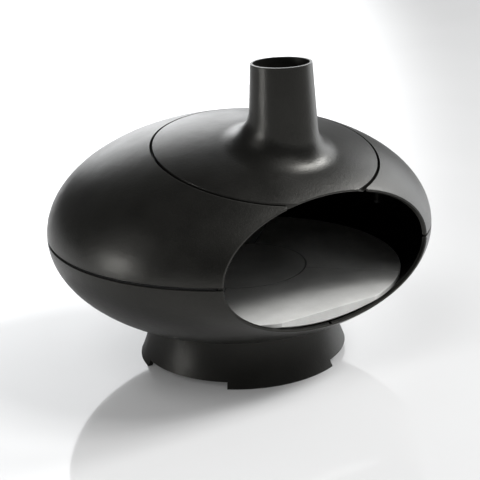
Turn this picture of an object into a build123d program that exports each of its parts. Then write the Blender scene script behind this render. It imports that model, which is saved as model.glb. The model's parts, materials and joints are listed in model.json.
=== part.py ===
from build123d import *
import os
from math import cos, radians, sin, sqrt

# Cast iron wood burning stove, shaped as a flattened ball on a flared foot ring.
# Lengths are in millimetres and angles in degrees.
# Everything is modelled about the vertical axis of the body, with z = 0 on the floor and
# the mouth facing -Y. The finished parts are moved back by ROW_SHIFT, which puts the
# origin under the middle of the whole stove.

# ---- Body: two castings that meet at a level seam round the widest line ----
BODY_RADIUS = 373.0
SEAM_HEIGHT = 263.0
DOME_HEIGHT = 210.0
BOWL_DEPTH = 204.0
WALL = 8.0
SEAM_GAP = 4.5
MOUTH_DISTANCE = 299.0
RIM_FLAT = 3.2
RIM_ROUNDING = 1.2
RIM_SETBACK = 5.5
ROW_SHIFT = (MOUTH_DISTANCE - BODY_RADIUS) / 2

# ---- Lid: the round top casting, with the chimney drawn up out of it ----
LID_CENTRE = (0.0, -102.0)
LID_RADIUS = 207.5
LID_GAP = 5.0
TIP_RELIEF_PLACE = (83.0, -300.0)
TIP_RELIEF_RADIUS = 4.0
SEAM_ROUNDING = 1.2
CHIMNEY_CENTRE = (0.0, -166.0)
CHIMNEY_TOP = 600.0
CHIMNEY_RADIUS = 55.5
CHIMNEY_WALL = 9.0
CHIMNEY_DRAFT = 0.06
FLARE_RADIUS = 60.0
SOCKET_RADIUS = 51.0
SOCKET_DEPTH = 40.0

# ---- Ledge in the upper shell that carries the lid, with its flat seal ----
LEDGE_TOP_INSET = 12.0
LEDGE_BOTTOM_INSET = 20.0
LEDGE_INNER_RADIUS = 198.0
LEDGE_OUTER_RADIUS = 222.0
LID_SEAL_RADII = (199.5, 205.5)
TAB_RADII = (188.0, 196.0)
TAB_INSET = 28.0
TAB_SPAN = 12.0
TAB_ANGLES = (90.0, 190.0, 350.0)
LEDGE_SETBACK = 25.0

# ---- Lugs and bolts that clamp the upper shell to the bowl ----
LUG_ANGLES = (0.0, 60.0, 120.0, 180.0)
LUG_DISTANCE = 344.0
LUG_RADIUS = 13.0
LUG_HEIGHT = 23.0
TIE_RADIUS = 4.0
TIE_HEX = 13.0

# ---- Seal in the level seam ----
SEAM_SEAL_RADII = (366.0, 370.0)
SEAM_SEAL_SETBACK = 9.0

# ---- Foot ring: three legs with low arches between them ----
FOOT_RADIUS = 208.0
FOOT_WAIST = (194.0, 36.0)
FOOT_TOP = (186.0, 92.0)
FOOT_WALL = 9.0
ARCH_HEIGHT = 12.0
ARCH_SPAN = 56.0
LEG_ANGLES = (20.5, 140.5, 260.5)
BOSS_DISTANCE = 160.0
BOSS_RADIUS = 15.0
FOOT_BOSS_BOTTOM = 50.0
BOWL_BOSS_TOP = 98.0
FOOT_BOLT_RADIUS = 5.0
FOOT_HEX = 17.0

# ---- Floor of the oven: five loose stones on a board and a steel plate ----
STONE_TOP = 172.0
STONE_THICKNESS = 25.0
STONE_RADIUS = 314.0
STONE_BASE_RADIUS = 288.0
STONE_EDGE = 8.0
STONE_GAP = 1.0
STONE_CHAMFER = 1.0
CENTRE_STONE_RADIUS = 128.5
FRONT_STONE_EDGE = 296.5
BOARD_RADIUS = 256.0
BOARD_THICKNESS = 20.0
PLATE_RADIUS = 250.0
PLATE_THICKNESS = 4.0
PLATE_HOLE_RADIUS = 25.0
RIB_ANGLES = (90.0, 210.0, 330.0)
RIB_LENGTH = 70.0
RIB_WIDTH = 10.0

# ---- Drain notch in the lip of the bowl ----
NOTCH_WIDTH = 6.0
NOTCH_DEPTH = 1.6

# ---- Fastener proportions, as fractions of the bolt's radius, and fits ----
HEAD_HEIGHT = 1.3
NUT_HEIGHT = 1.7
WASHER_RADIUS = 2.1
WASHER_THICKNESS = 0.4
HOLE_CLEARANCE = 0.5
THREAD_CLEARANCE = 0.05
SEAT_CLEARANCE = 0.3
ROOT_OVERLAP = 4.0
FAR = 1000.0
UPRIGHT = (Align.CENTER, Align.CENTER, Align.MIN)

BOARD_TOP = STONE_TOP - STONE_THICKNESS
PLATE_TOP = BOARD_TOP - BOARD_THICKNESS
PLATE_BOTTOM = PLATE_TOP - PLATE_THICKNESS


def disc(radius, low, high, centre=(0.0, 0.0)):
    """Upright cylinder between two heights."""
    return Pos(*centre, low) * Cylinder(radius, high - low, align=UPRIGHT)


def ring(inner, outer, low, high, centre=(0.0, 0.0)):
    """Upright tube between two heights."""
    return disc(outer, low, high, centre) - disc(inner, low, high, centre)


def block(x_range, y_range, z_range):
    """Box given by its lowest and highest corner on each axis."""
    sizes = [high - low for low, high in (x_range, y_range, z_range)]
    return Pos(x_range[0], y_range[0], z_range[0]) * Box(*sizes, align=Align.MIN)


def sector(span, angle, centre=(0.0, 0.0)):
    """Tall upright wedge of the given span, with its middle at the given angle."""
    half = radians(span / 2)
    corners = [(0, 0), (FAR * cos(half), -FAR * sin(half)), (FAR * cos(half), FAR * sin(half))]
    return Pos(*centre, 0) * Rot(Z=angle) * extrude(make_face(Polyline(*corners, close=True)), FAR)


def half_ball(radius, height):
    """Half a flattened ball on z = 0, or below it where the height is negative.

    The weights make the curve an exact quarter of an ellipse.
    """
    arc = Bezier((radius, 0), (radius, height), (0, height), weights=[1, sqrt(0.5), 1])
    outline = [arc, Line((0, height), (0, 0)), Line((0, 0), (radius, 0))]
    return revolve(Plane.XZ * make_face(outline), Axis.Z)


def dome(inset):
    """Solid inside the upper body, inset from its outer surface."""
    return Pos(0, 0, SEAM_HEIGHT) * half_ball(BODY_RADIUS - inset, DOME_HEIGHT - inset)


def bowl(inset):
    """Solid inside the lower body, inset from its outer surface."""
    return Pos(0, 0, SEAM_HEIGHT) * half_ball(BODY_RADIUS - inset, inset - BOWL_DEPTH)


def mouth(setback=0.0):
    """Everything in front of the flat plane of the mouth."""
    return block((-FAR, FAR), (-FAR, setback - MOUTH_DISTANCE), (-FAR, FAR))


def chimney_form(inset, radius):
    """Dome with the chimney growing out of it through one smooth flare."""
    height = CHIMNEY_TOP - SEAM_HEIGHT
    stack = Cone(radius + height * CHIMNEY_DRAFT, radius, height, align=UPRIGHT)
    form = dome(inset) + Pos(*CHIMNEY_CENTRE, SEAM_HEIGHT) * stack
    near_stack = form.edges().filter_by(lambda e: e.center().Z > SEAM_HEIGHT + DOME_HEIGHT / 2)
    root = near_stack.filter_by(lambda e: e.center().Z < CHIMNEY_TOP - FLARE_RADIUS and e.is_closed)
    return fillet(root, FLARE_RADIUS + inset)


def wall_half_axes(inset, height, distance):
    """Half-width and half-height of the wall's ellipse on a plane parallel to the mouth."""
    share = sqrt(1 - (distance / (BODY_RADIUS - inset)) ** 2)
    return (BODY_RADIUS - inset) * share, (height - inset) * share


def mouth_bevel(height):
    """Tool that slants the rim of the mouth, so that it stands square to the curved wall.

    The slant runs from the outer wall, less the narrow flat, on the mouth's own plane to the
    inner wall on the plane behind it. The tool is drawn out past both.
    """
    front = [axis - RIM_FLAT for axis in wall_half_axes(0, height, MOUTH_DISTANCE)]
    back = wall_half_axes(WALL, height, MOUTH_DISTANCE - RIM_SETBACK)
    ends = []
    for steps in (-1, 2):
        axes = [near + steps * (far - near) for near, far in zip(front, back)]
        centre = (0, steps * RIM_SETBACK - MOUTH_DISTANCE, SEAM_HEIGHT)
        ends.append(Plane(centre, x_dir=(1, 0, 0), z_dir=(0, -1, 0)) * Ellipse(*axes))
    return loft(ends, ruled=True)


def shape_mouth(casting, height):
    """Slant the rim round the mouth and round its outer edge."""
    casting -= mouth_bevel(height)
    rim = casting.faces().filter_by(Axis.Y).sort_by(Axis.Y)[0]
    curved = rim.edges().filter_by(lambda e: e.geom_type != GeomType.LINE)
    return fillet(curved.sort_by(SortBy.LENGTH)[-1], RIM_ROUNDING)


def round_lid_edge(lid):
    """Round the outer edge of the lid."""
    side = lid.faces().filter_by(GeomType.CYLINDER).sort_by(SortBy.AREA)[-1]
    edges = side.edges().filter_by(lambda e: e.length > LID_RADIUS)
    return fillet(edges.sort_by(Axis.Z)[-1], SEAM_ROUNDING)


def level_seam_trim(side):
    """Tool that trims a casting to its side of the level seam and bevels its outer edge."""
    level = SEAM_HEIGHT + side * SEAM_GAP / 2
    reach = 2 * SEAM_ROUNDING
    corners = [
        (BODY_RADIUS - SEAM_ROUNDING, level),
        (BODY_RADIUS + reach, level),
        (BODY_RADIUS + reach, level + side * (SEAM_ROUNDING + reach)),
    ]
    bevel = revolve(Plane.XZ * make_face(Polyline(*corners, close=True)), Axis.Z)
    return bevel + disc(BODY_RADIUS + reach, min(level, SEAM_HEIGHT), max(level, SEAM_HEIGHT))


def chimney_lid():
    """Round lid with its chimney, its flue socket and three tabs that centre it."""
    wall = chimney_form(0, CHIMNEY_RADIUS) - chimney_form(WALL, CHIMNEY_RADIUS - CHIMNEY_WALL)
    lid = round_lid_edge(wall & disc(LID_RADIUS, 0, FAR, LID_CENTRE)) - mouth()
    lid = shape_mouth(lid, DOME_HEIGHT)
    lid -= disc(SOCKET_RADIUS, CHIMNEY_TOP - SOCKET_DEPTH, CHIMNEY_TOP, CHIMNEY_CENTRE)
    tab_ring = (dome(ROOT_OVERLAP) - dome(TAB_INSET)) & ring(*TAB_RADII, 0, FAR, LID_CENTRE)
    for angle in TAB_ANGLES:
        lid += tab_ring & sector(TAB_SPAN, angle, LID_CENTRE)
    return lid


def wall_lug(low, high, form):
    """Bolt lug that stands in from the wall of a casting, cut to the casting's curve."""
    lug = disc(LUG_RADIUS, low, high, (LUG_DISTANCE, 0))
    lug += block((LUG_DISTANCE, BODY_RADIUS), (-LUG_RADIUS, LUG_RADIUS), (low, high))
    lug -= disc(TIE_RADIUS + HOLE_CLEARANCE, low, high, (LUG_DISTANCE, 0))
    return lug & form & disc(SEAM_SEAL_RADII[0], low, high)


def upper_shell():
    """Upper shell with the lid's opening, the ledge below it and the bolt lugs.

    Its two tips, where the opening runs into the mouth, are blunted by a small round cut.
    """
    shell = shape_mouth(dome(0) - dome(WALL) - mouth(), DOME_HEIGHT) - level_seam_trim(1)
    shell -= disc(LID_RADIUS + LID_GAP, 0, FAR, LID_CENTRE)
    for side in (-1, 1):
        tip = (side * TIP_RELIEF_PLACE[0], TIP_RELIEF_PLACE[1])
        shell -= disc(TIP_RELIEF_RADIUS, SEAM_HEIGHT, FAR, tip)
    shelf = dome(LEDGE_TOP_INSET) - dome(LEDGE_BOTTOM_INSET)
    root = dome(ROOT_OVERLAP) - dome(LEDGE_BOTTOM_INSET)
    shelf &= ring(LEDGE_INNER_RADIUS, LEDGE_OUTER_RADIUS, SEAM_HEIGHT, FAR, LID_CENTRE)
    root &= ring(LID_RADIUS + LID_GAP, LEDGE_OUTER_RADIUS, SEAM_HEIGHT, FAR, LID_CENTRE)
    shell += (shelf + root) - mouth(LEDGE_SETBACK)
    lug = wall_lug(SEAM_HEIGHT, SEAM_HEIGHT + LUG_HEIGHT, dome(ROOT_OVERLAP))
    for angle in LUG_ANGLES:
        shell += Rot(Z=angle) * lug
    return shell


def lower_bowl():
    """Bowl with its bolt lugs, the bosses over the legs and the ribs under the floor."""
    wall = shape_mouth(bowl(0) - bowl(WALL) - mouth(), BOWL_DEPTH) - level_seam_trim(-1)
    lug = wall_lug(SEAM_HEIGHT - LUG_HEIGHT, SEAM_HEIGHT, bowl(ROOT_OVERLAP))
    for angle in LUG_ANGLES:
        wall += Rot(Z=angle) * lug
    boss = disc(BOSS_RADIUS, 0, BOWL_BOSS_TOP, (BOSS_DISTANCE, 0)) & bowl(ROOT_OVERLAP)
    bolt_hole = disc(FOOT_BOLT_RADIUS + HOLE_CLEARANCE, 0, BOWL_BOSS_TOP, (BOSS_DISTANCE, 0))
    for angle in LEG_ANGLES:
        wall += Rot(Z=angle) * boss
        wall -= Rot(Z=angle) * bolt_hole
    rib_sides = (-RIB_WIDTH / 2, RIB_WIDTH / 2)
    rib = block((PLATE_RADIUS - RIB_LENGTH, BODY_RADIUS), rib_sides, (0, PLATE_BOTTOM))
    for angle in RIB_ANGLES:
        wall += Rot(Z=angle) * (rib & bowl(ROOT_OVERLAP))
    lip = SEAM_HEIGHT + RIM_FLAT - wall_half_axes(0, BOWL_DEPTH, MOUTH_DISTANCE)[1]
    notch_length = (-MOUTH_DISTANCE, 2 * RIM_SETBACK - MOUTH_DISTANCE)
    half = NOTCH_WIDTH / 2
    return wall - block((-half, half), notch_length, (lip - NOTCH_DEPTH, SEAM_HEIGHT))


def foot_ring():
    """Flared ring with three legs; its top is hollowed to the curve of the bowl."""
    outer = ThreePointArc((FOOT_RADIUS, 0), FOOT_WAIST, FOOT_TOP)
    inner = Pos(-FOOT_WALL, 0) * ThreePointArc((FOOT_RADIUS, 0), FOOT_WAIST, FOOT_TOP)
    outline = [outer, Line(outer @ 1, inner @ 1), inner, Line(inner @ 0, outer @ 0)]
    body = revolve(Plane.XZ * make_face(outline), Axis.Z)
    arch = sector(ARCH_SPAN, 0) & disc(FAR, 0, ARCH_HEIGHT)
    boss = disc(BOSS_RADIUS, FOOT_BOSS_BOTTOM, FOOT_TOP[1], (BOSS_DISTANCE, 0))
    arm_reach = (BOSS_DISTANCE, FOOT_TOP[0] - FOOT_WALL / 2)
    arm = block(arm_reach, (-RIB_WIDTH / 2, RIB_WIDTH / 2), (FOOT_BOSS_BOTTOM, FOOT_TOP[1]))
    bolt_hole = disc(FOOT_BOLT_RADIUS + HOLE_CLEARANCE, 0, FAR, (BOSS_DISTANCE, 0))
    for angle in LEG_ANGLES:
        body -= Rot(Z=angle + 180 / len(LEG_ANGLES)) * arch
        body += Rot(Z=angle) * (boss + arm)
        body -= Rot(Z=angle) * bolt_hole
    return body - bowl(0)


def ease_top(stone):
    """Take the sharp edge off the top of a stone."""
    return chamfer(stone.faces().sort_by(Axis.Z)[-1].edges(), STONE_CHAMFER)


def centre_stone():
    """Round stone in the middle of the floor."""
    return ease_top(disc(CENTRE_STONE_RADIUS, BOARD_TOP, STONE_TOP))


def outer_stone(angle):
    """Quarter of the floor round the centre stone, with its lower edge tapered."""
    inner_radius = CENTRE_STONE_RADIUS + STONE_GAP
    edge_low = STONE_TOP - STONE_EDGE
    points = [
        (inner_radius, BOARD_TOP),
        (STONE_BASE_RADIUS, BOARD_TOP),
        (STONE_RADIUS, edge_low),
        (STONE_RADIUS, STONE_TOP),
        (inner_radius, STONE_TOP),
    ]
    floor = revolve(Plane.XZ * make_face(Polyline(*points, close=True)), Axis.Z)
    apex = (STONE_GAP * sqrt(0.5), 0)
    quarter = floor & (Rot(Z=angle) * sector(90, 0, apex))
    front = block((-FAR, FAR), (-FAR, -FRONT_STONE_EDGE), (0, FAR))
    return ease_top(quarter - front)


def insulation_board():
    """Round board that the stones lie on."""
    return disc(BOARD_RADIUS, PLATE_TOP, BOARD_TOP)


def floor_plate():
    """Round steel plate that carries the board on the ribs of the bowl."""
    return ring(PLATE_HOLE_RADIUS, PLATE_RADIUS, PLATE_BOTTOM, PLATE_TOP)


def seam_seal():
    """Rope that fills the level seam, set back so that the seam reads as a groove."""
    rope = ring(*SEAM_SEAL_RADII, SEAM_HEIGHT - SEAM_GAP / 2, SEAM_HEIGHT + SEAM_GAP / 2)
    return rope - mouth(SEAM_SEAL_SETBACK)


def lid_seal():
    """Flat seal on the ledge under the edge of the lid."""
    strip = dome(WALL + SEAT_CLEARANCE) - dome(LEDGE_TOP_INSET)
    strip &= ring(*LID_SEAL_RADII, SEAM_HEIGHT, FAR, LID_CENTRE)
    return strip - mouth(LEDGE_SETBACK)


def hexagon(across_flats, low, high, centre):
    """Upright hexagonal prism."""
    outline = RegularPolygon(across_flats / 2, 6, major_radius=False)
    return Pos(*centre, low) * extrude(outline, high - low)


def bolt_set(radius, across_flats, distance, grip_low, grip_high, head_on_top):
    """Bolt, nut and two washers that clamp between two heights."""
    centre = (distance, 0)
    washer = WASHER_THICKNESS * radius
    low = grip_low - washer
    high = grip_high + washer
    head = HEAD_HEIGHT * radius
    nut = NUT_HEIGHT * radius
    tail = nut + radius
    if head_on_top:
        bolt = disc(radius, low - tail, high, centre) + hexagon(across_flats, high, high + head, centre)
        nut_range = (low - nut, low)
    else:
        bolt = disc(radius, low, high + tail, centre) + hexagon(across_flats, low - head, low, centre)
        nut_range = (high, high + nut)
    bore = radius + THREAD_CLEARANCE
    nut_body = hexagon(across_flats, *nut_range, centre) - disc(bore, *nut_range, centre)
    washer_radii = (bore, WASHER_RADIUS * radius)
    washers = [ring(*washer_radii, low, grip_low, centre), ring(*washer_radii, grip_high, high, centre)]
    return bolt, nut_body, washers


def around(angles, pieces):
    """One group that repeats the same pieces at each angle about the body's axis."""
    return Compound([Rot(Z=angle) * piece for angle in angles for piece in pieces])


def fasteners():
    """Tie bolts through the seam lugs, and foot bolts through the bowl into the legs."""
    tie_grip = (SEAM_HEIGHT - LUG_HEIGHT, SEAM_HEIGHT + LUG_HEIGHT)
    tie = bolt_set(TIE_RADIUS, TIE_HEX, LUG_DISTANCE, *tie_grip, head_on_top=False)
    foot_grip = (FOOT_BOSS_BOTTOM, BOWL_BOSS_TOP)
    foot = bolt_set(FOOT_BOLT_RADIUS, FOOT_HEX, BOSS_DISTANCE, *foot_grip, head_on_top=True)
    groups = {}
    for name, angles, (bolt, nut, washers) in (("tie", LUG_ANGLES, tie), ("foot", LEG_ANGLES, foot)):
        groups[name + "_bolts"] = around(angles, [bolt])
        groups[name + "_nuts"] = around(angles, [nut])
        groups[name + "_washers"] = around(angles, washers)
    return groups


def build():
    """All sub-parts by name, about the body's axis."""
    parts = {
        "foot_ring": foot_ring(),
        "lower_bowl": lower_bowl(),
        "upper_shell": upper_shell(),
        "chimney_lid": chimney_lid(),
        "seam_seal": seam_seal(),
        "lid_seal": lid_seal(),
        "floor_plate": floor_plate(),
        "insulation_board": insulation_board(),
        "centre_stone": centre_stone(),
        "front_stone": outer_stone(270),
        "right_stone": outer_stone(0),
        "back_stone": outer_stone(90),
        "left_stone": outer_stone(180),
    }
    parts.update(fasteners())
    return parts


os.makedirs("parts", exist_ok=True)
for part_name, solid in build().items():
    export_step(Pos(0, ROW_SHIFT, 0) * solid, f"parts/{part_name}.step")
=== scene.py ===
import json
from math import cos, radians, sin, tau

import bpy
from mathutils import Matrix, Vector


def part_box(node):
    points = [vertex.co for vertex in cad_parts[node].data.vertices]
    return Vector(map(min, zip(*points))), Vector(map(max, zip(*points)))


# Cast iron wood burning stove on a glossy pale floor. Lengths are in metres, angles in degrees
# and colours in linear red, green and blue. The stove's mouth faces -Y. An azimuth of 0 is the
# direction of -Y, seen from the stove, and grows towards +X.

# ---- Camera ----
CAMERA_AIM = Vector((0.0, -0.037, 0.280))
CAMERA_AZIMUTH = -31.58
CAMERA_ELEVATION = 17.54
CAMERA_DISTANCE = 2.411
CAMERA_ROLL = -2.53
CAMERA_LENS_MM = 92.46
CAMERA_SHIFT = (0.0030, -0.0569)

# ---- Paint on the castings ----
# Roughness and specular level of each casting.
CASTING_PAINT = {
    "foot": (0.42, 0.35),
    "bowl": (0.30, 0.36),
    "shell": (0.30, 0.50),
    "lid": (0.30, 0.50),
}
PAINT_TINT = (1.0, 0.985, 0.92)
PAINT_DARK = (0.0062, 0.0060, 0.0053)
PAINT_LIGHT = (0.0093, 0.0090, 0.0080)
PAINT_SPECKLE = (0.020, 0.020, 0.019)
RUBBED_IRON = (0.085, 0.083, 0.078)

# ---- Stones ----
STONE_DARK = (0.61, 0.61, 0.59)
STONE_LIGHT = (0.69, 0.69, 0.67)
STONE_SPECK = (0.45, 0.44, 0.42)
STONE_PORE = (0.50, 0.49, 0.47)
SOOT = (0.10, 0.095, 0.09)
# Soot on the joints: how much there is, and how far from a joint it starts to fade and is gone.
SOOT_AMOUNT = 0.7
SOOT_FULL = 0.0005
SOOT_GONE = 0.0025

# ---- Other finishes ----
ROPE_DARK = (0.006, 0.006, 0.006)
ROPE_LIGHT = (0.022, 0.022, 0.022)
STEEL_DARK = (0.30, 0.30, 0.31)
STEEL_LIGHT = (0.40, 0.40, 0.41)
STEEL_LINE = (0.22, 0.22, 0.23)
BOARD_DARK = (0.50, 0.43, 0.31)
BOARD_LIGHT = (0.66, 0.59, 0.46)
BOARD_GOLD = (0.60, 0.44, 0.20)
BOARD_FLECK = (0.16, 0.13, 0.10)
ZINC_DARK = (0.15, 0.15, 0.15)
ZINC_LIGHT = (0.27, 0.27, 0.28)
ZINC_EDGE = (0.50, 0.50, 0.50)

# ---- Node settings ----
# Most of a noise's values lie between these two.
NOISE_LOW = 0.3
NOISE_HIGH = 0.7
# Cosine of the angle between a surface's softened and real normals: on a worn edge, and on a face
# that isn't worn.
EDGE_COSINE = 0.80
FACE_COSINE = 0.99
EDGE_SAMPLES = 4

# ---- Studio ----
FLOOR_RADIUS = 12.0
FLOOR_SIDES = 128
FLOOR_COLOUR = (0.75, 0.75, 0.75)
FLOOR_VARIATION = 1.02
# Glow of the floor itself: painted light that lifts the stove's shadow on the floor.
FLOOR_GLOW = 0.07
ROOM_COLOUR = (0.97, 0.985, 1.00)
ROOM_STRENGTH = 0.08
# Round soft glows on the studio's walls: azimuth, elevation, half-width of the bright middle and
# of the whole glow, strength.
GLOWS = {
    "backdrop": (158, 16, 6, 21, 3.3),
    "wall": (136, 28, 5, 32, 0.22),
    "right_wall": (98, 16, 5, 30, 2.6),
}
# Distant softboxes: azimuth, elevation, width across, strength.
SOFTBOXES = {
    "key_front": (44, 54, 12, 0.70),
    "key": (60, 50, 12, 0.90),
    "key_side": (80, 37, 14, 1.30),
    "front": (8, 52, 40, 0.35),
    "left": (-106, 6, 9, 0.42),
    "left_high": (-105, 28, 24, 0.10),
    "fill": (-65, 57, 32, 0.70),
}
# Softboxes that only soften the shadows, so glossy paint and the floor don't mirror them.
UNMIRRORED = {"fill"}

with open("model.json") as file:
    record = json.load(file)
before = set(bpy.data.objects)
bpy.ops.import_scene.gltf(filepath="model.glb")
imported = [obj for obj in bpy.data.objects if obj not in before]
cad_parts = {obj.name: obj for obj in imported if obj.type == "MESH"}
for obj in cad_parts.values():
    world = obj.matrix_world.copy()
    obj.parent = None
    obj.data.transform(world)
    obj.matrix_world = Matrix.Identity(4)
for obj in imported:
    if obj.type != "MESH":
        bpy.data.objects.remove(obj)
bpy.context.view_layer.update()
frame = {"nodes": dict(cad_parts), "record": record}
scene = bpy.context.scene
scene.view_settings.view_transform = "Standard"


def direction(azimuth, elevation):
    """Unit vector from the stove towards an azimuth and an elevation."""
    a = radians(azimuth)
    e = radians(elevation)
    return Vector((sin(a) * cos(e), -cos(a) * cos(e), sin(e)))


# ---- Materials ----

class Paint:
    """A node material with its shader, and short ways to add and join nodes."""

    def __init__(self, name, roughness, metallic=0.0):
        self.material = bpy.data.materials.new(name)
        self.material.use_nodes = True
        self.nodes = self.material.node_tree.nodes
        self.shader = self.nodes["Principled BSDF"]
        self.shader.inputs["Roughness"].default_value = roughness
        self.shader.inputs["Metallic"].default_value = metallic
        self.place = self.nodes.new("ShaderNodeTexCoord").outputs["Object"]

    def join(self, source, target):
        """Link an output to an input."""
        self.material.node_tree.links.new(source, target)

    def stretched(self, scale):
        """The place on the object, stretched along each axis."""
        node = self.nodes.new("ShaderNodeMapping")
        node.inputs["Scale"].default_value = scale
        self.join(self.place, node.inputs["Vector"])
        return node.outputs["Vector"]

    def noise(self, size, detail=3.0, place=None):
        """Smooth noise whose features are about size across."""
        node = self.nodes.new("ShaderNodeTexNoise")
        node.inputs["Scale"].default_value = 1.0 / size
        node.inputs["Detail"].default_value = detail
        self.join(place or self.place, node.inputs["Vector"])
        return node.outputs["Fac"]

    def cells(self, size):
        """Distance to the middle of the nearest of many cells about size across."""
        node = self.nodes.new("ShaderNodeTexVoronoi")
        node.inputs["Scale"].default_value = 1.0 / size
        self.join(self.place, node.inputs["Vector"])
        return node.outputs["Distance"]

    def spread(self, value, first, last, start=NOISE_LOW, end=NOISE_HIGH):
        """Amount that goes from first to last as value goes from start to end."""
        node = self.nodes.new("ShaderNodeMapRange")
        node.inputs["From Min"].default_value = start
        node.inputs["From Max"].default_value = end
        node.inputs["To Min"].default_value = first
        node.inputs["To Max"].default_value = last
        self.join(value, node.inputs["Value"])
        return node.outputs["Result"]

    def result(self, operation, *values):
        """Result of an operation on numbers or outputs."""
        node = self.nodes.new("ShaderNodeMath")
        node.operation = operation
        for socket, value in zip(node.inputs, values):
            if isinstance(value, (int, float)):
                socket.default_value = value
            else:
                self.join(value, socket)
        return node.outputs["Value"]

    def tones(self, value, dark, light, start=NOISE_LOW, end=NOISE_HIGH):
        """Colour that goes from dark to light as value goes from start to end."""
        node = self.nodes.new("ShaderNodeValToRGB")
        stops = zip(node.color_ramp.elements, (start, end), (dark, light))
        for element, position, colour in stops:
            element.position = position
            element.color = (*colour, 1.0)
        self.join(value, node.inputs["Fac"])
        return node.outputs["Color"]

    def mixed(self, amount, under, over):
        """Colour that goes from the output under to the colour over as amount goes from 0 to 1."""
        node = self.nodes.new("ShaderNodeMixRGB")
        node.inputs["Color2"].default_value = (*over, 1.0)
        self.join(amount, node.inputs["Fac"])
        self.join(under, node.inputs["Color1"])
        return node.outputs["Color"]

    def edges(self, radius):
        """About 1 on a sharp or tightly rounded edge, fading to 0 away from it."""
        soft = self.nodes.new("ShaderNodeBevel")
        soft.samples = EDGE_SAMPLES
        soft.inputs["Radius"].default_value = radius
        flat = self.nodes.new("ShaderNodeNewGeometry")
        dot = self.nodes.new("ShaderNodeVectorMath")
        dot.operation = "DOT_PRODUCT"
        self.join(soft.outputs["Normal"], dot.inputs[0])
        self.join(flat.outputs["Normal"], dot.inputs[1])
        return self.spread(dot.outputs["Value"], first=1.0, last=0.0, start=EDGE_COSINE, end=FACE_COSINE)

    def bump(self, *layers):
        """Surface relief from (height, depth in metres) layers."""
        normal = None
        for height, depth in layers:
            node = self.nodes.new("ShaderNodeBump")
            node.inputs["Distance"].default_value = depth
            self.join(height, node.inputs["Height"])
            if normal:
                self.join(normal, node.inputs["Normal"])
            normal = node.outputs["Normal"]
        self.join(normal, self.shader.inputs["Normal"])

    def colour(self, output):
        """Set the shader's colour."""
        self.join(output, self.shader.inputs["Base Color"])

    def roughness(self, output):
        """Set the shader's roughness."""
        self.join(output, self.shader.inputs["Roughness"])


def cast_iron(name, roughness, specular):
    """Sand-cast iron under matte black heat-proof paint, rubbed a little on its edges."""
    paint = Paint(name, roughness)
    paint.shader.inputs["Specular IOR Level"].default_value = specular
    paint.shader.inputs["Specular Tint"].default_value = (*PAINT_TINT, 1.0)
    blotches = paint.noise(size=0.060)
    waves = paint.noise(size=0.035, detail=2.0)
    dimples = paint.noise(size=0.0045)
    speckle = paint.noise(size=0.0016, detail=2.0)
    specks = paint.spread(speckle, first=0.0, last=0.4, start=0.45, end=0.75)
    worn = paint.spread(paint.noise(size=0.006), first=0.15, last=0.55)
    rubbed = paint.result("MULTIPLY", paint.edges(radius=0.0025), worn)
    coat = paint.tones(blotches, PAINT_DARK, PAINT_LIGHT, start=0.35, end=0.65)
    paint.colour(paint.mixed(rubbed, paint.mixed(specks, coat, PAINT_SPECKLE), RUBBED_IRON))
    patchy = paint.spread(blotches, first=roughness, last=roughness + 0.05)
    paint.roughness(paint.result("ADD", patchy, paint.spread(speckle, first=-0.03, last=0.04)))
    paint.bump((waves, 0.00035), (speckle, 0.00018), (dimples, 0.0002))
    return paint.material


def joint_soot(paint):
    """1 along the joints between the floor stones, fading to 0 a few millimetres away."""
    low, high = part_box("centre_stone")
    middle = (low + high) / 2
    radius = (high.x - low.x) / 2
    flat = paint.nodes.new("ShaderNodeVectorMath")
    flat.operation = "MULTIPLY_ADD"
    flat.inputs[1].default_value = (1.0, 1.0, 0.0)
    flat.inputs[2].default_value = (-middle.x, -middle.y, 0.0)
    paint.join(paint.place, flat.inputs[0])
    length = paint.nodes.new("ShaderNodeVectorMath")
    length.operation = "LENGTH"
    paint.join(flat.outputs["Vector"], length.inputs[0])
    sides = paint.nodes.new("ShaderNodeSeparateXYZ")
    paint.join(flat.outputs["Vector"], sides.inputs["Vector"])
    # The round joint lies where beyond is 0. The straight ones lie outside it, on the diagonals.
    beyond = paint.result("SUBTRACT", length.outputs["Value"], radius)
    across = paint.result("ABSOLUTE", sides.outputs["X"])
    along = paint.result("ABSOLUTE", sides.outputs["Y"])
    diagonal = paint.result("ABSOLUTE", paint.result("SUBTRACT", across, along))
    straight = paint.result("MAXIMUM", diagonal, paint.result("MULTIPLY", beyond, -1.0))
    nearest = paint.result("MINIMUM", straight, paint.result("ABSOLUTE", beyond))
    return paint.spread(nearest, first=1.0, last=0.0, start=SOOT_FULL, end=SOOT_GONE)


def fire_stone():
    """Pale cast stone: chalky, with fine specks and pores, and sooted along its joints."""
    paint = Paint("stone", roughness=0.8)
    clouds = paint.noise(size=0.045, detail=5.0)
    grains = paint.noise(size=0.0018, detail=2.0)
    pores = paint.cells(size=0.0045)
    body = paint.tones(clouds, STONE_DARK, STONE_LIGHT, start=0.35, end=0.65)
    specks = paint.spread(grains, first=0.0, last=0.35, start=0.58, end=0.75)
    dust = paint.spread(pores, first=0.25, last=0.0, start=0.0, end=0.25)
    speckled = paint.mixed(specks, body, STONE_SPECK)
    dusty = paint.mixed(dust, speckled, STONE_PORE)
    sooted = paint.result("MULTIPLY", joint_soot(paint), SOOT_AMOUNT)
    paint.colour(paint.mixed(sooted, dusty, SOOT))
    paint.roughness(paint.spread(clouds, first=0.72, last=0.88))
    pits = paint.spread(pores, first=0.0, last=1.0, start=0.0, end=0.3)
    paint.bump((clouds, 0.0004), (pits, 0.00015), (grains, 0.00012))
    return paint.material


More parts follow.
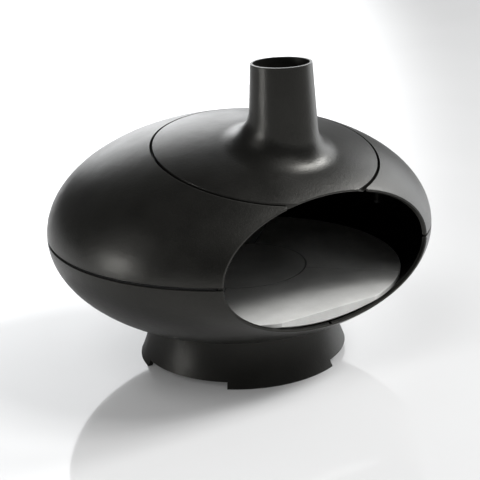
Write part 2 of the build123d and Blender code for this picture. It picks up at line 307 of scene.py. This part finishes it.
def rope():
    """Dark plaited glass fibre, seen only as the bottom of a seam."""
    paint = Paint("rope", roughness=0.9)
    wave = paint.nodes.new("ShaderNodeTexWave")
    wave.bands_direction = "DIAGONAL"
    wave.inputs["Scale"].default_value = 120.0
    wave.inputs["Distortion"].default_value = 2.0
    paint.join(paint.place, wave.inputs["Vector"])
    strands = wave.outputs["Fac"]
    fuzz = paint.noise(size=0.0008)
    paint.colour(paint.tones(strands, ROPE_DARK, ROPE_LIGHT, start=0.2, end=0.9))
    paint.roughness(paint.spread(fuzz, first=0.85, last=0.95))
    paint.bump((strands, 0.0006), (fuzz, 0.0002))
    return paint.material


def rolled_steel():
    """Mill-finish steel sheet with rolling lines along X and a few heat-dulled clouds."""
    paint = Paint("plate", roughness=0.35, metallic=1.0)
    lines = paint.noise(size=0.0012, place=paint.stretched(scale=(0.03, 1.0, 1.0)))
    clouds = paint.noise(size=0.070, detail=4.0)
    base = paint.tones(clouds, STEEL_DARK, STEEL_LIGHT)
    paint.colour(paint.mixed(paint.spread(lines, first=0.0, last=0.3), base, STEEL_LINE))
    brushed = paint.spread(lines, first=0.28, last=0.42)
    paint.roughness(paint.result("ADD", brushed, paint.spread(clouds, first=0.0, last=0.1)))
    paint.bump((lines, 0.00005))
    return paint.material


def pressed_flakes():
    """Pressed vermiculite board: tan flakes with a few golden and dark ones."""
    paint = Paint("board", roughness=0.85)
    flakes = paint.cells(size=0.0035)
    drift = paint.noise(size=0.012, detail=4.0)
    body = paint.tones(drift, BOARD_DARK, BOARD_LIGHT)
    golden = paint.mixed(paint.spread(flakes, first=0.6, last=0.0, start=0.0, end=0.3), body, BOARD_GOLD)
    dark = paint.spread(paint.noise(size=0.0025), first=0.0, last=0.7, start=0.60, end=0.70)
    paint.colour(paint.mixed(dark, golden, BOARD_FLECK))
    paint.roughness(paint.spread(drift, first=0.75, last=0.92))
    paint.bump((flakes, 0.0006), (drift, 0.0005))
    return paint.material


def zinc():
    """Zinc-plated steel, dulled in patches by smoke and brighter on its edges."""
    paint = Paint("fastener", roughness=0.35, metallic=1.0)
    patches = paint.noise(size=0.004, detail=4.0)
    base = paint.tones(patches, ZINC_DARK, ZINC_LIGHT)
    bright = paint.result("MULTIPLY", paint.edges(radius=0.0008), 0.6)
    paint.colour(paint.mixed(bright, base, ZINC_EDGE))
    paint.roughness(paint.spread(patches, first=0.38, last=0.55))
    paint.bump((paint.noise(size=0.0006), 0.00003))
    return paint.material


def dress_stove():
    """Give every CAD node the material of its slot."""
    finishes = {
        "rope": rope(),
        "plate": rolled_steel(),
        "board": pressed_flakes(),
        "stone": fire_stone(),
        "fastener": zinc(),
    }
    for slot, settings in CASTING_PAINT.items():
        finishes[slot] = cast_iron(slot, *settings)
    for part in frame["record"]["subparts"]:
        node = frame["nodes"][part["node"]]
        for slot in node.material_slots:
            slot.material = finishes[part["material_slot"]]


# ---- Surroundings ----

def floor_paint():
    """Pale acrylic sheet with a faint glow of its own, painted light that lifts the shadows on it, and
    that mirrors what stands on it a little.
    """
    paint = Paint("floor", roughness=0.06)
    paint.shader.inputs["Emission Color"].default_value = (1.0, 1.0, 1.0, 1.0)
    # Painted light: the floor glows by itself, which lifts the shadows on it.
    paint.shader.inputs["Emission Strength"].default_value = FLOOR_GLOW
    haze = paint.noise(size=0.5)
    lighter = tuple(channel * FLOOR_VARIATION for channel in FLOOR_COLOUR)
    paint.colour(paint.tones(haze, FLOOR_COLOUR, lighter))
    paint.roughness(paint.spread(haze, first=0.05, last=0.07))
    return paint.material


def floor():
    """Large round floor under the stove."""
    turns = [tau * i / FLOOR_SIDES for i in range(FLOOR_SIDES)]
    rim = [(FLOOR_RADIUS * cos(turn), FLOOR_RADIUS * sin(turn), 0.0) for turn in turns]
    mesh = bpy.data.meshes.new("floor")
    mesh.from_pydata(rim, [], [range(FLOOR_SIDES)])
    mesh.materials.append(floor_paint())
    sheet = bpy.data.objects.new("floor", mesh)
    scene.collection.objects.link(sheet)


def glow(tree, place, azimuth, elevation, middle, whole, strength):
    """Brightness of a round patch that fades out smoothly towards its rim."""
    turn = tree.nodes.new("ShaderNodeVectorMath")
    turn.operation = "DOT_PRODUCT"
    turn.inputs[1].default_value = direction(azimuth, elevation)
    tree.links.new(place, turn.inputs[0])
    fade = tree.nodes.new("ShaderNodeMapRange")
    fade.interpolation_type = "SMOOTHERSTEP"
    fade.inputs["From Min"].default_value = cos(radians(whole))
    fade.inputs["From Max"].default_value = cos(radians(middle))
    fade.inputs["To Max"].default_value = strength
    tree.links.new(turn.outputs["Value"], fade.inputs["Value"])
    return fade.outputs["Result"]


def room():
    """Even light from the walls of the studio, brighter in a few soft glows."""
    world = bpy.data.worlds.new("room")
    world.use_nodes = True
    tree = world.node_tree
    background = tree.nodes["Background"]
    background.inputs["Color"].default_value = (*ROOM_COLOUR, 1.0)
    place = tree.nodes.new("ShaderNodeTexCoord").outputs["Generated"]
    total = None
    for settings in GLOWS.values():
        add = tree.nodes.new("ShaderNodeMath")
        add.inputs[1].default_value = ROOM_STRENGTH
        if total:
            tree.links.new(total, add.inputs[1])
        tree.links.new(glow(tree, place, *settings), add.inputs[0])
        total = add.outputs["Value"]
    tree.links.new(total, background.inputs["Strength"])
    scene.world = world


def softbox(name, azimuth, elevation, across, strength):
    """Distant round softbox, which the camera itself doesn't see."""
    light = bpy.data.lights.new(name, "SUN")
    light.energy = strength
    light.angle = radians(across)
    box = bpy.data.objects.new(name, light)
    box.rotation_euler = direction(azimuth, elevation).to_track_quat("Z", "Y").to_euler()
    box.visible_camera = False
    box.visible_glossy = name not in UNMIRRORED
    scene.collection.objects.link(box)


def camera():
    """Camera at the photograph's viewing angle."""
    back = direction(CAMERA_AZIMUTH, CAMERA_ELEVATION)
    right = Vector((-back.y, back.x, 0.0)).normalized()
    up = back.cross(right)
    turn = Matrix.Rotation(radians(CAMERA_ROLL), 3, back)
    axes = Matrix((turn @ right, turn @ up, back)).transposed()
    lens = bpy.data.cameras.new("camera")
    lens.lens = CAMERA_LENS_MM
    lens.shift_x, lens.shift_y = CAMERA_SHIFT
    stand = bpy.data.objects.new("camera", lens)
    stand.matrix_world = Matrix.Translation(CAMERA_AIM + CAMERA_DISTANCE * back) @ axes.to_4x4()
    scene.collection.objects.link(stand)
    scene.camera = stand


dress_stove()
floor()
room()
for name, settings in SOFTBOXES.items():
    softbox(name, *settings)
camera()
